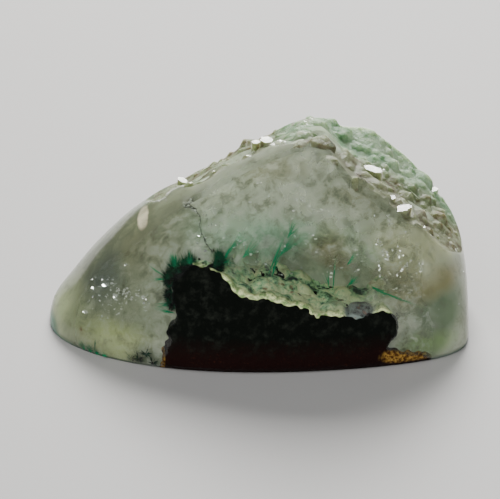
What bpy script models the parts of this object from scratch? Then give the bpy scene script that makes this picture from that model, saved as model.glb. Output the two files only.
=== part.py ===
"""Gem silica druse: a polished lump of grey-green chalcedony with a natural quartz druse on its top.

The stone lies on its flat ground base. Its sides are a polished dome, low and narrow at the left end and
blunt at the right. Small quartz crystals stand on the natural surface that slopes down to the right. A mass
of dark host rock is exposed low on the front, with a pale rind over it and green malachite tufts at its edge.

Frame: metres, +Z up, +X along the stone to its blunt end, +Y to the back. The origin is at the middle of the
base, at the height of the surface that the stone rests on.
"""

import math
import random

import bmesh
import bpy
from mathutils import Matrix, Vector

MM = 0.001

# Driving dimensions, in millimetres
LENGTH = 32.0
FRONT_WIDTH = 9.75  # from the crest line to the front of the base
BACK_WIDTH = 9.75  # from the crest line to the back of the base
CHAMFER = 0.45  # height of the eased edge round the base
CHAMFER_MOST = 0.5  # share of the crest's height that the eased edge never passes
CHAMFER_DRAW = 0.05  # share of the width by which the base is drawn in under that edge
GAP = 0.3  # clearance between two pieces that touch on the real stone

# How blunt each end of the plan is: 1 is an ellipse's end, and less is squarer
TIP_BLUNTNESS = 0.92
BLUNT_END = 0.43
BLUNT_BLEND = 1.5  # how late along the stone its plan turns blunt
# Powers of the cross-section: 2 is an ellipse, and more is fuller
FRONT_FULLNESS = 2.0
BACK_FULLNESS = (2.4, 3.2)  # at the left and at the right
BACK_FULLNESS_ENDS = (-4.0, 8.0)  # x between which it changes

# Height of the ground dome along the stone: x, height
CREST = [
    (-16.0, 0.0),
    (-15.7, 1.4),
    (-14.3, 3.2),
    (-12.0, 5.9),
    (-9.4, 8.3),
    (-6.0, 10.5),
    (-3.0, 12.2),
    (-1.0, 13.45),
    (1.6, 14.6),
    (4.0, 15.4),
    (6.2, 15.5),
    (8.2, 15.0),
    (10.2, 13.8),
    (12.7, 11.6),
    (14.2, 9.3),
    (15.3, 6.6),
    (15.8, 4.4),
    (16.0, 0.0),
]
# Height of the natural surface that the crystals stand on: x, height
DRUSE_FLOOR = [
    (-17.0, 9.5),
    (-8.0, 9.6),
    (-6.0, 10.5),
    (-4.0, 11.6),
    (-1.0, 13.3),
    (1.6, 14.4),
    (3.2, 14.95),
    (4.7, 14.85),
    (6.2, 14.1),
    (8.2, 12.8),
    (10.2, 11.35),
    (12.7, 9.2),
    (14.2, 7.7),
    (15.3, 6.4),
    (17.0, 4.5),
]
BACK_FALL = 0.24  # how fast that surface falls to the back, left of the blunt end
FRONT_RISE = 0.5  # how fast it rises to the front there, which keeps the front side of the ridge polished
BACK_FALL_ENDS = (2.0, 7.0)  # x between which that fall fades out
# Its hollows and lumps: height, centre x and y, reach along x and y
SWELLS = [
    (-0.7, (9.5, 0.5), (4.0, 3.0)),
    (0.25, (3.3, 6.0), (1.6, 1.8)),
    (0.5, (10.0, 6.8), (3.0, 2.0)),
]
# Its small waves: height, radians per millimetre along x and y, start
WAVES = [(0.16, 1.9, 0.7, 0.0), (0.12, -0.8, 1.3, 1.0)]
BLOCK_SPAN = ((-18.0, 18.0), (-12.0, 12.0))  # reach of the block that has this surface as its top
BLOCK_FOOT = -2.0

# Crystals of the druse
CRYSTAL_SEED = 7
CRYSTAL_SPACING = 1.4  # between rows and columns of their jittered net
CRYSTAL_JITTER = 0.4
CRYSTAL_RADII = (0.7, 1.25, 0.8)  # smallest, largest and most usual radius
SLOPE_STEP = CRYSTAL_SPACING / 3  # distance over which the floor's slope under a crystal is taken
CRYSTAL_LEAN = 0.26  # how far a crystal leans from the floor's normal, as a slope
PYRAMID_SLOPE = 0.95  # height of the pyramid over the radius of the prism
PRISM_SHOW = (-0.2, 0.12)  # height of the prism's neck over the floor, over its radius
PRISM_DEPTH = 1.1  # how far the prism reaches below the floor, over its radius
PROUD = (0.9, -0.12)  # how far crystals may stand above the ground form, at the left and at the right
PROUD_ENDS = (4.0, 8.0)  # x between which that height changes
PROUD_CREST = 5.0  # crest height under which they stand less proud
LEFT_CRYSTALS = 0.55  # size of the crystals on the left of the ridge, against the others
LEFT_CRYSTALS_END = -3.0
DRUSE_SPAN = ((-8.5, 16.0), (-8.0, 9.5))

# The exposed front of the host rock, from its left foot over its crown to its right foot: x, z
ROCK_LEFT = [
    (-7.35, 0.0),
    (-6.95, 1.2),
    (-6.35, 2.4),
    (-6.75, 2.9),
    (-6.1, 3.6),
    (-5.8, 4.2),
    (-6.35, 5.1),
    (-6.3, 6.3),
    (-5.3, 7.1),
]
ROCK_CROWN = [
    (-3.8, 7.25),
    (-2.7, 6.8),
    (-1.8, 6.0),
    (-0.4, 5.6),
    (0.6, 5.8),
    (1.7, 5.3),
    (3.2, 4.95),
    (4.3, 4.4),
    (6.0, 4.4),
    (7.5, 4.0),
    (9.2, 4.3),
    (10.0, 3.7),
]
ROCK_RIGHT = [
    (10.25, 2.9),
    (9.7, 2.2),
    (9.5, 1.4),
    (10.6, 0.95),
    (12.7, 0.45),
    (12.9, 0.0),
]
ROCK_EDGE = ROCK_LEFT + ROCK_CROWN + ROCK_RIGHT
# The rock's cross-sections from front to back: y, share of its width, share of its height
ROCK_SECTIONS = [
    (-12.0, 1.0, 1.0),
    (-9.5, 1.0, 1.0),
    (-8.0, 1.0, 1.02),
    (-6.5, 0.99, 1.05),
    (-5.0, 0.98, 1.08),
    (-3.5, 0.95, 1.10),
    (-2.0, 0.91, 1.08),
    (-0.5, 0.85, 1.0),
    (1.0, 0.76, 0.84),
    (2.2, 0.62, 0.62),
]
ROCK_MIDDLE = 2.0  # x that the sections shrink towards
ROCK_FOOT = -1.0  # how far below the base the rock's prism starts, before it is trimmed

RIND = 0.55  # thickness of the pale rind on the host rock
RIND_ENDS = (-2.9, 9.7)  # x where the rind starts and ends on the rock's top
RIND_SECTIONS = 8  # how many of the rock's sections it covers
RIND_STATIONS = 28
RIND_LUMPS = 0.16  # height of the rounded lumps on it
RIND_WAVES = ((2.6, 0.9, 0.0), (-1.1, 2.3, 0.7))  # radians per millimetre along x and y, and start
RIND_ROOM_FOOT = -1.0  # how far the rind's room reaches down into the rock's room
BUBBLE = (7.4, -7.3, 1.15)  # its round swelling: x, y, radius

# Malachite tufts: name, x, z, how deep behind the polished front, core, needle length, way the needles lean
TUFTS = [
    ("malachite_tuft_upper", -6.0, 7.5, 0.8, 1.05, 2.0, (-0.5, -0.2, 0.75)),
    ("malachite_tuft_lower", -7.05, 4.7, 0.6, 0.6, 1.3, (-0.9, -0.2, -0.1)),
    ("malachite_tuft_middle", -2.75, 8.2, 0.6, 0.65, 1.5, (0.3, -0.2, 1.0)),
]
TUFT_EVENNESS = 0.7  # 1 has the needles equally long all round, and less has them longer the way they lean
NEEDLE_SHORTEST = 0.85  # length of the shortest needle against the longest there

STATIONS = 40  # rings of faces along the dome
RING = 18  # faces in half a cross-section
FLOOR_GRID = (40, 24)  # cells of the natural surface, along x and y

# Plain colours: red, green, blue
CHALCEDONY = (0.42, 0.50, 0.38)
HOST_ROCK = (0.03, 0.022, 0.018)
CHRYSOCOLLA = (0.50, 0.60, 0.40)
MALACHITE = (0.01, 0.10, 0.05)


def curve(points, x):
    """A smooth height at x, through the points."""
    for i in range(len(points) - 2):
        if x <= points[i + 1][0]:
            break
    else:
        i = len(points) - 2

    def slope(j):
        a, b = max(j - 1, 0), min(j + 1, len(points) - 1)
        return (points[b][1] - points[a][1]) / (points[b][0] - points[a][0])

    (x0, y0), (x1, y1) = points[i], points[i + 1]
    span = x1 - x0
    t = min(max((x - x0) / span, 0.0), 1.0)
    rise = (1 + 2 * t) * (1 - t) ** 2 * y0 + t * t * (3 - 2 * t) * y1
    return rise + span * t * (1 - t) ** 2 * slope(i) - span * t * t * (1 - t) * slope(i + 1)


def fade(x, ends, values):
    """A value that changes evenly from the first to the second between two ends."""
    share = min(max((x - ends[0]) / (ends[1] - ends[0]), 0.0), 1.0)
    return values[0] + (values[1] - values[0]) * share


def bell(x, y, centre, reach):
    """A round hill of height 1."""
    return math.exp(-(((x - centre[0]) / reach[0]) ** 2) - ((y - centre[1]) / reach[1]) ** 2)


def along(x):
    """The angle at which a point x lies along the stone: 0 at the tip, pi at the blunt end."""
    return math.acos(min(max(-x / (LENGTH / 2), -1.0), 1.0))


CREST_BY_ANGLE = [(along(x), z) for x, z in CREST]


def dome(x, raised=False):
    """Front width, back width, crest height and back fullness of the ground dome at x."""
    angle = along(x)
    blend = (1 - math.cos(angle)) / 2
    power = TIP_BLUNTNESS + (BLUNT_END - TIP_BLUNTNESS) * blend**BLUNT_BLEND
    share = max(math.sin(angle), 0.0) ** power
    height = curve(CREST_BY_ANGLE, angle)
    if raised:
        height += fade(x, PROUD_ENDS, PROUD) * min(height / PROUD_CREST, 1)
    return FRONT_WIDTH * share, BACK_WIDTH * share, height, fade(x, BACK_FULLNESS_ENDS, BACK_FULLNESS)


def dome_height(x, y):
    """Height of the ground dome's surface over x, y, or -1 outside its plan."""
    front, back, height, fullness = dome(x)
    width, power = (front, FRONT_FULLNESS) if y < 0 else (back, fullness)
    if abs(y) >= width:
        return -1.0
    return height * (1 - (abs(y) / width) ** power) ** (1 / power)


def front_y(x, z):
    """Where the polished front is at x and height z."""
    front, _, height, _ = dome(x)
    return -front * math.sqrt(max(1 - (z / height) ** 2, 0.0))


def druse_floor(x, y):
    """Height of the natural surface under the crystals."""
    fall = (BACK_FALL if y > 0 else FRONT_RISE) * y * fade(x, BACK_FALL_ENDS, (1, 0))
    swell = sum(height * bell(x, y, centre, reach) for height, centre, reach in SWELLS)
    waves = sum(height * math.sin(a * x + b * y + start) for height, a, b, start in WAVES)
    return curve(DRUSE_FLOOR, x) - fall + swell + waves


def clear_scene():
    for item in list(bpy.data.objects):
        bpy.data.objects.remove(item, do_unlink=True)


def new_object(name, mesh):
    item = bpy.data.objects.new(name, mesh)
    bpy.context.scene.collection.objects.link(item)
    return item


def finish_mesh(name, bm):
    """A new object from a closed bmesh in millimetres."""
    bmesh.ops.recalc_face_normals(bm, faces=bm.faces)
    bm.transform(Matrix.Scale(MM, 4))
    mesh = bpy.data.meshes.new(name)
    bm.to_mesh(mesh)
    bm.free()
    return new_object(name, mesh)


def copy_of(item, name):
    return new_object(name, item.data.copy())


def strip(bm, first, second):
    """Faces between two rows of points."""
    for a, b, c, d in zip(first, first[1:], second[1:], second):
        bm.faces.new((a, b, c, d))


def sandwich(name, low, high):
    """A closed slab between two nets of points, given as lists of rows."""
    bm = bmesh.new()
    under = [[bm.verts.new(point) for point in row] for row in low]
    over = [[bm.verts.new(point) for point in row] for row in high]
    for net in (under, over):
        for first, second in zip(net, net[1:]):
            strip(bm, first, second)
    for k in (0, -1):
        strip(bm, under[k], over[k])
        strip(bm, [row[k] for row in under], [row[k] for row in over])
    return finish_mesh(name, bm)


def dome_section(x, raised):
    """Points of one cross-section, from the front edge of the base over the crest to the back."""
    front, back, height, fullness = dome(x, raised)
    ease = min(CHAMFER / height, CHAMFER_MOST)
    points = []
    for i in range(RING + 1):
        angle = math.pi * (i / RING - 0.5)
        power, width = (FRONT_FULLNESS, -front) if angle < 0 else (fullness, back)
        lift = abs(math.cos(angle)) ** (2 / power)
        y = width * abs(math.sin(angle)) ** (2 / power)
        if lift < ease:
            y *= 1 - CHAMFER_DRAW * (1 - lift / ease)
        points.append(Vector((x, y, height * lift)))
    points[0].z = points[-1].z = 0.0
    return points


def ground_form(name, raised=False):
    """The whole dome as the grinder left it, or that dome raised to the reach of the crystals."""
    bm = bmesh.new()
    tip = bm.verts.new((-LENGTH / 2, 0, 0))
    end = bm.verts.new((LENGTH / 2, 0, 0))
    rings = []
    for i in range(1, STATIONS):
        x = -LENGTH / 2 * math.cos(math.pi * i / STATIONS)
        rings.append([bm.verts.new(point) for point in dome_section(x, raised)])
    for first, second in zip(rings, rings[1:]):
        strip(bm, first, second)
    for a, b in zip(rings[0], rings[0][1:]):
        bm.faces.new((tip, a, b))
    for a, b in zip(rings[-1], rings[-1][1:]):
        bm.faces.new((end, b, a))
    front_edge = [ring[0] for ring in rings]
    back_edge = [ring[-1] for ring in rings]
    bm.faces.new([tip] + front_edge + [end] + back_edge[::-1])
    return finish_mesh(name, bm)


def natural_block(name):
    """All that lies under the natural surface, as a block with that surface as its top."""
    columns, rows = FLOOR_GRID
    xs = [fade(i, (0, columns), BLOCK_SPAN[0]) for i in range(columns + 1)]
    ys = [fade(j, (0, rows), BLOCK_SPAN[1]) for j in range(rows + 1)]
    low = [[(x, y, BLOCK_FOOT) for y in ys] for x in xs]
    high = [[(x, y, druse_floor(x, y)) for y in ys] for x in xs]
    return sandwich(name, low, high)


def crystal_sites():
    """Seeded places for the crystals: foot point, direction, turn, radius and neck height over radius."""
    rng = random.Random(CRYSTAL_SEED)
    (x_low, x_high), (y_low, y_high) = DRUSE_SPAN
    sites = []
    row_step = CRYSTAL_SPACING * math.sqrt(3) / 2
    for row in range(int((y_high - y_low) / row_step) + 1):
        for column in range(int((x_high - x_low) / CRYSTAL_SPACING) + 1):
            x = x_low + (column + 0.5 * (row % 2)) * CRYSTAL_SPACING + rng.gauss(0, CRYSTAL_JITTER)
            y = y_low + row * row_step + rng.gauss(0, CRYSTAL_JITTER)
            radius = rng.triangular(*CRYSTAL_RADII)
            turn, neck = rng.uniform(0, math.pi / 3), rng.uniform(*PRISM_SHOW)
            lean_x, lean_y = rng.gauss(0, CRYSTAL_LEAN), rng.gauss(0, CRYSTAL_LEAN)
            if x < LEFT_CRYSTALS_END:
                radius *= LEFT_CRYSTALS
            floor = druse_floor(x, y)
            if dome_height(x, y) < floor:
                continue
            run = 2 * SLOPE_STEP
            slope_x = (druse_floor(x + SLOPE_STEP, y) - druse_floor(x - SLOPE_STEP, y)) / run
            slope_y = (druse_floor(x, y + SLOPE_STEP) - druse_floor(x, y - SLOPE_STEP)) / run
            direction = Vector((lean_x - slope_x, lean_y - slope_y, 1.0)).normalized()
            sites.append((Vector((x, y, floor)), direction, turn, radius, neck))
    return sites


def crystal(bm, foot, direction, turn, radius, neck):
    """One six-sided quartz prism with its pyramid, sunk by about its own width into the floor."""
    spin = direction.to_track_quat("Z", "Y").to_matrix().to_4x4() @ Matrix.Rotation(turn, 4, "Z")
    place = Matrix.Translation(foot) @ spin
    corners = [(radius * math.cos(k * math.pi / 3), radius * math.sin(k * math.pi / 3)) for k in range(6)]
    foot_ring = [bm.verts.new(place @ Vector((x, y, -PRISM_DEPTH * radius))) for x, y in corners]
    neck_ring = [bm.verts.new(place @ Vector((x, y, neck * radius))) for x, y in corners]
    peak = bm.verts.new(place @ Vector((0, 0, (neck + PYRAMID_SLOPE) * radius)))
    bm.faces.new(foot_ring[::-1])
    for k in range(6):
        j = (k + 1) % 6
        bm.faces.new((foot_ring[k], foot_ring[j], neck_ring[j], neck_ring[k]))
        bm.faces.new((neck_ring[k], neck_ring[j], peak))


def crystal_mass(name):
    bm = bmesh.new()
    for site in crystal_sites():
        crystal(bm, *site)
    return finish_mesh(name, bm)


def boolean(item, operation, other, self_crossing=False):
    """Joins, cuts or trims an object with another, and removes that one."""
    modifier = item.modifiers.new(operation.lower(), "BOOLEAN")
    modifier.solver = "EXACT"
    modifier.operation = operation
    modifier.use_self = self_crossing
    modifier.object = other
    bpy.context.view_layer.objects.active = item
    bpy.ops.object.modifier_apply(modifier=modifier.name)
    bpy.data.objects.remove(other, do_unlink=True)


def grown(edge, distance):
    """An open outline moved outwards by a distance."""
    moved = []
    for i, (x, z) in enumerate(edge):
        before, after = edge[max(i - 1, 0)], edge[min(i + 1, len(edge) - 1)]
        run = Vector((after[0] - before[0], after[1] - before[1])).normalized()
        moved.append((x - run.y * distance, z + run.x * distance))
    return moved


def rock_mass(name, distance):
    """The host rock grown by a distance, carried back into the stone through its sections."""
    edge = grown(ROCK_EDGE, distance)
    outline = [(edge[0][0], ROCK_FOOT)] + edge + [(edge[-1][0], ROCK_FOOT)]
    bm = bmesh.new()
    rings = []
    for y, wide, high in ROCK_SECTIONS:
        y += distance if y == ROCK_SECTIONS[-1][0] else 0.0
        ring = [(ROCK_MIDDLE + (x - ROCK_MIDDLE) * wide, y, z * high) for x, z in outline]
        rings.append([bm.verts.new(point) for point in ring])
    for first, second in zip(rings, rings[1:]):
        strip(bm, first + first[:1], second + second[:1])
    bm.faces.new(rings[0])
    bm.faces.new(rings[-1])
    return finish_mesh(name, bm)


def rock_top(x, wide, high):
    """Height of the rock's upper edge at x, in a section of that width and height."""
    across = ROCK_MIDDLE + (x - ROCK_MIDDLE) / wide
    for (x0, z0), (x1, z1) in zip(ROCK_CROWN, ROCK_CROWN[1:]):
        if across <= x1:
            break
    return high * fade(across, (x0, x1), (z0, z1))


def rind_height(x, y):
    """Thickness of the rind, with its lumps and its round swelling."""
    lumps = math.prod(math.sin(a * x + b * y + start) for a, b, start in RIND_WAVES)
    bump_x, bump_y, radius = BUBBLE
    swelling = math.sqrt(max(radius**2 - (x - bump_x) ** 2 - (y - bump_y) ** 2, 0.0))
    return max(RIND + RIND_LUMPS * lumps, swelling)


def rind_slab(name, low, high, overhang):
    """A slab over the rock's top, from one clearance above it to another above the rind."""
    start, end = RIND_ENDS[0] - overhang, RIND_ENDS[1] + overhang
    sections = ROCK_SECTIONS[:RIND_SECTIONS]
    under, over = [], []
    for y, wide, tall in sections:
        y += overhang if y == sections[-1][0] else 0.0
        lower, upper = [], []
        for i in range(RIND_STATIONS + 1):
            x = ROCK_MIDDLE + (start + (end - start) * i / RIND_STATIONS - ROCK_MIDDLE) * wide
            top = rock_top(x, wide, tall)
            lower.append((x, y, top + low))
            upper.append((x, y, top + GAP + rind_height(x, y) + high))
        under.append(lower)
        over.append(upper)
    return sandwich(name, under, over)


def rind_mass(name):
    return rind_slab(name, GAP, 0.0, 0.0)


def rind_room(name):
    """The space that the other pieces leave for the rind."""
    return rind_slab(name, RIND_ROOM_FOOT, GAP, GAP)


def tuft_mass(name, centre, core, reach, lean, clearance=0.0):
    """A ball with every other point drawn out into a needle, longest the way the tuft leans."""
    bm = bmesh.new()
    bmesh.ops.create_icosphere(bm, subdivisions=2, radius=1)
    rng = random.Random(reach)
    lean = Vector(lean).normalized()
    for vert in bm.verts:
        drawn = TUFT_EVENNESS + (1 - TUFT_EVENNESS) * vert.co.normalized().dot(lean)
        drawn *= reach * rng.uniform(NEEDLE_SHORTEST, 1.0)
        needle = len(vert.link_edges) == 5
        vert.co *= (max(core, drawn) if needle else core) + clearance
    bm.transform(Matrix.Translation(centre))
    return finish_mesh(name, bm)


def keep_largest(item):
    """Drops the crumbs that a cut left beside the main body."""
    bm = bmesh.new()
    bm.from_mesh(item.data)
    left, parts = set(bm.verts), []
    while left:
        stack, part = [left.pop()], set()
        while stack:
            vert = stack.pop()
            part.add(vert)
            for edge in vert.link_edges:
                other = edge.other_vert(vert)
                if other in left:
                    left.remove(other)
                    stack.append(other)
        parts.append(part)
    keep = max(parts, key=len)
    bmesh.ops.delete(bm, geom=[v for v in bm.verts if v not in keep], context="VERTS")
    bm.to_mesh(item.data)
    bm.free()


def centre_on_origin(items):
    """Moves the meshes together, so that the middle of their box is over the origin."""
    corners = [vert.co for item in items for vert in item.data.vertices]
    middle = [(min(c[k] for c in corners) + max(c[k] for c in corners)) / 2 for k in (0, 1)]
    for item in items:
        item.data.transform(Matrix.Translation((-middle[0], -middle[1], 0)))


def material(name, colour, roughness, transmission=0.0):
    made = bpy.data.materials.new(name)
    made.use_nodes = True
    shader = made.node_tree.nodes["Principled BSDF"]
    shader.inputs["Base Color"].default_value = (*colour, 1)
    shader.inputs["Roughness"].default_value = roughness
    shader.inputs["Metallic"].default_value = 0.0
    shader.inputs["Transmission Weight"].default_value = transmission
    return made


def dress(item, made):
    item.data.materials.clear()
    item.data.materials.append(made)


def druse_crystals(name):
    """All crystals as one solid, trimmed where the sides were ground."""
    crystals = crystal_mass(name)
    boolean(crystals, "INTERSECT", ground_form("reach", raised=True), self_crossing=True)
    return crystals


def mineral_room(name):
    """The space that the host rock and its rind need in the stone, with a clearance all round."""
    room = rock_mass(name, GAP)
    boolean(room, "UNION", rind_room("rind_room"))
    return room


def build():
    clear_scene()
    whole = ground_form("whole_form")
    rock = rock_mass("host_rock", 0.0)
    boolean(rock, "INTERSECT", copy_of(whole, "trim"))
    rind = rind_mass("chrysocolla_rind")
    boolean(rind, "INTERSECT", copy_of(whole, "trim"))
    keep_largest(rind)

    room = mineral_room("room")
    tufts = []
    for name, x, z, depth, core, reach, lean in TUFTS:
        centre = Vector((x, front_y(x, z) + depth, z))
        tuft = tuft_mass(name, centre, core, reach, lean)
        boolean(tuft, "INTERSECT", copy_of(whole, "trim"))
        boolean(tuft, "DIFFERENCE", mineral_room("cutter"))
        keep_largest(tuft)
        boolean(room, "UNION", tuft_mass("pocket", centre, core, reach, lean, GAP))
        tufts.append(tuft)
    stone = copy_of(whole, "chalcedony_with_druse")
    boolean(stone, "INTERSECT", natural_block("natural_block"))
    boolean(stone, "DIFFERENCE", room)
    boolean(stone, "UNION", druse_crystals("crystals"))
    keep_largest(stone)
    bpy.data.objects.remove(whole, do_unlink=True)
    centre_on_origin([stone, rock, rind, *tufts])

    dress(stone, material("chalcedony", CHALCEDONY, 0.12, 0.6))
    dress(rock, material("host_rock", HOST_ROCK, 0.55))
    dress(rind, material("chrysocolla_rind", CHRYSOCOLLA, 0.5))
    green = material("malachite", MALACHITE, 0.45)
    for tuft in tufts:
        dress(tuft, green)


build()
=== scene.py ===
# %% [markdown]
# # A gem silica druse
# The stone is a lump of grey-green chalcedony that was ground flat below and polished round its sides. Its
# natural top, a crust of small quartz crystals, was left as it grew. Dark host rock shows low on the front,
# with a pale botryoidal rind over it and tufts of malachite needles at its edge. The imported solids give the
# sizes and places; this script builds the looks around them, one piece at a time.

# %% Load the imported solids
import math
import random

import bmesh
import bpy
from mathutils import Matrix, Vector


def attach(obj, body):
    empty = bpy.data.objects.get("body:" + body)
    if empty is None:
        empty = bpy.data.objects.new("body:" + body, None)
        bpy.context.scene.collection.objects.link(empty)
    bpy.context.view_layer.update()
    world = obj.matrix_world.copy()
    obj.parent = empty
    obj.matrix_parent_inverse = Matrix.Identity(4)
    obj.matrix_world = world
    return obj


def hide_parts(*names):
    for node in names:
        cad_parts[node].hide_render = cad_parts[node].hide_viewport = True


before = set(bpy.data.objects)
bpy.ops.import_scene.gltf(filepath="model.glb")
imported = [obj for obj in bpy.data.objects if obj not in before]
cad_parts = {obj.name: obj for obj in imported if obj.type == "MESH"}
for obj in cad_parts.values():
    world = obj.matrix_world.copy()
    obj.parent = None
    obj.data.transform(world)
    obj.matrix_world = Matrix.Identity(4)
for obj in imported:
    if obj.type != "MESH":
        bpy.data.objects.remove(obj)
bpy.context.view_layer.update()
MM = 0.001

# %% [markdown]
# ## Working as by hand
# Every piece starts as a primitive and is shaped with the same operators that a person uses in the viewport.
# An operator acts on whatever is selected, so each step first leaves edit mode and deselects all, and then
# takes hold of one object.

# %% Helpers for operators
def let_go():
    if bpy.context.object and bpy.context.object.mode != "OBJECT":
        bpy.ops.object.mode_set(mode="OBJECT")
    bpy.ops.object.select_all(action="DESELECT")


def take(item):
    let_go()
    item.select_set(True)
    bpy.context.view_layer.objects.active = item
    return item


def named(name):
    """Names the primitive that was just added."""
    item = bpy.context.object
    item.name = item.data.name = name
    return item


def modify(item, kind, **settings):
    """Adds a modifier and applies it."""
    take(item)
    modifier = item.modifiers.new(kind.lower(), kind)
    for key, value in settings.items():
        setattr(modifier, key, value)
    bpy.ops.object.modifier_apply(modifier=modifier.name)
    return item


def combine(item, operation, other, self_crossing=False, solver="EXACT"):
    """Joins, cuts or trims an item with another, and removes that one."""
    modify(item, "BOOLEAN", solver=solver, operation=operation, use_self=self_crossing, object=other)
    bpy.data.objects.remove(other, do_unlink=True)
    return item


def joined(items):
    """Makes one object of several."""
    take(items[0])
    for item in items[1:]:
        item.select_set(True)
    bpy.ops.object.join()
    return items[0]


def copy_of(item, name):
    take(item)
    bpy.ops.object.duplicate()
    return named(name)


def select_where(item, test):
    """Enters edit mode with the vertices selected whose place passes the test."""
    take(item)
    bpy.ops.object.mode_set(mode="EDIT")
    bpy.ops.mesh.select_mode(type="VERT")
    bpy.ops.mesh.select_all(action="DESELECT")
    bpy.ops.object.mode_set(mode="OBJECT")
    for vert in item.data.vertices:
        vert.select = test(vert.co)
    bpy.ops.object.mode_set(mode="EDIT")


def face_outwards(item):
    take(item)
    bpy.ops.object.mode_set(mode="EDIT")
    bpy.ops.mesh.select_all(action="SELECT")
    bpy.ops.mesh.normals_make_consistent(inside=False)
    bpy.ops.object.mode_set(mode="OBJECT")
    return item


def size_text(item):
    faces = sum(len(face.vertices) - 2 for face in item.data.polygons)
    sides = [round(side / MM, 2) for side in item.dimensions]
    return f"{item.name}: {faces} triangles, {sides} mm"


def joined_copies(name, pattern, places):
    """One mesh that holds a copy of the pattern at each place. The pattern is removed."""
    bm = bmesh.new()
    for place in places:
        start = len(bm.verts)
        bm.from_mesh(pattern.data)
        bm.verts.ensure_lookup_table()
        bmesh.ops.transform(bm, matrix=place, verts=bm.verts[start:])
    mesh = bpy.data.meshes.new(name)
    bm.to_mesh(mesh)
    bm.free()
    bpy.data.objects.remove(pattern, do_unlink=True)
    item = bpy.data.objects.new(name, mesh)
    bpy.context.scene.collection.objects.link(item)
    return item


# %% [markdown]
# ## The ground form
# A lapidary ground this stone freehand. Its plan is an ellipse that ends squarely on the right, its crest
# climbs from a low tip to the top of the druse, and its cross-section is half an ellipse in front and fuller at
# the back. A handful of driving sizes and two curves along the stone say all of it.

# %% Driving sizes, in millimetres
LENGTH = 32.0
HALF_WIDTH = 9.75
CHAMFER = 0.45
TIP_BLUNTNESS = 0.92
BLUNT_END = 0.43
FRONT_FULLNESS = 2.0
BACK_FULLNESS = (2.4, 3.2)
BACK_FULLNESS_ENDS = (-4.0, 8.0)
CREST = [
    (-16.0, 0.0), (-15.7, 1.4), (-14.3, 3.2), (-12.0, 5.9), (-9.4, 8.3), (-6.0, 10.5), (-3.0, 12.2),
    (-1.0, 13.45), (1.6, 14.6), (4.0, 15.4), (6.2, 15.5), (8.2, 15.0), (10.2, 13.8), (12.7, 11.6),
    (14.2, 9.3), (15.3, 6.6), (15.8, 4.4), (16.0, 0.0),
]
DRUSE_FLOOR = [
    (-17.0, 9.5), (-8.0, 9.6), (-6.0, 10.5), (-4.0, 11.6), (-1.0, 13.3), (1.6, 14.4), (3.2, 14.95),
    (4.7, 14.85), (6.2, 14.1), (8.2, 12.8), (10.2, 11.35), (12.7, 9.2), (14.2, 7.7), (15.3, 6.4),
    (17.0, 4.5),
]
BACK_FALL = 0.24
FRONT_RISE = 0.5
BACK_FALL_ENDS = (2.0, 7.0)
SWELLS = [
    (-0.7, (9.5, 0.5), (4.0, 3.0)),
    (0.25, (3.3, 6.0), (1.6, 1.8)),
    (0.5, (10.0, 6.8), (3.0, 2.0)),
    (0.5, (3.2, 4.5), (1.4, 2.0)),
    (-1.2, (6.6, 4.5), (1.3, 2.8)),
]


# %% Curves and heights
def curve(points, x):
    """A smooth height at x, through the points."""
    for i in range(len(points) - 2):
        if x <= points[i + 1][0]:
            break
    else:
        i = len(points) - 2

    def slope(j):
        a, b = max(j - 1, 0), min(j + 1, len(points) - 1)
        return (points[b][1] - points[a][1]) / (points[b][0] - points[a][0])

    (x0, y0), (x1, y1) = points[i], points[i + 1]
    span = x1 - x0
    t = min(max((x - x0) / span, 0.0), 1.0)
    rise = (1 + 2 * t) * (1 - t) ** 2 * y0 + t * t * (3 - 2 * t) * y1
    return rise + span * t * (1 - t) ** 2 * slope(i) - span * t * t * (1 - t) * slope(i + 1)


def fade(x, ends, values):
    """A value that changes evenly from the first to the second between two ends."""
    share = min(max((x - ends[0]) / (ends[1] - ends[0]), 0.0), 1.0)
    return values[0] + (values[1] - values[0]) * share


def bell(x, y, centre, reach):
    return math.exp(-(((x - centre[0]) / reach[0]) ** 2) - ((y - centre[1]) / reach[1]) ** 2)


def along(x):
    """The angle at which a point x lies along the stone: 0 at the tip, pi at the blunt end."""
    return math.acos(min(max(-x / (LENGTH / 2), -1.0), 1.0))


CREST_BY_ANGLE = [(along(x), z) for x, z in CREST]
PROUD = (0.9, -0.12)
PROUD_ENDS = (4.0, 8.0)


def section(x, raised=False):
    """Half width, crest height and back fullness of the ground form at x."""
    angle = along(x)
    blend = (1 - math.cos(angle)) / 2
    power = TIP_BLUNTNESS + (BLUNT_END - TIP_BLUNTNESS) * blend**1.5
    share = max(math.sin(angle), 0.0) ** power
    height = curve(CREST_BY_ANGLE, angle)
    if raised:
        height += fade(x, PROUD_ENDS, PROUD) * min(height / 5, 1)
    return HALF_WIDTH * share, height, fade(x, BACK_FULLNESS_ENDS, BACK_FULLNESS)


def ground_height(x, y):
    """Height of the polished surface over x, y, or -1 outside the plan."""
    width, height, fullness = section(x)
    power = FRONT_FULLNESS if y < 0 else fullness
    return height * (1 - (abs(y) / width) ** power) ** (1 / power) if abs(y) < width else -1.0


def front_y(x, z):
    """Where the polished front is at x and height z."""
    width, height, _ = section(x)
    return -width * math.sqrt(max(1 - (z / height) ** 2, 0.0))


def druse_floor(x, y):
    """Height of the natural surface under the crystals."""
    fall = (BACK_FALL if y > 0 else FRONT_RISE) * y * fade(x, BACK_FALL_ENDS, (1, 0))
    swell = sum(height * bell(x, y, centre, reach) for height, centre, reach in SWELLS)
    waves = 0.16 * math.sin(1.9 * x + 0.7 * y) + 0.12 * math.sin(1.3 * y - 0.8 * x + 1.0)
    return curve(DRUSE_FLOOR, x) - fall + swell + waves


print("Front of the stone at its middle:", round(front_y(0, 4), 2), "mm")

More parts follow.
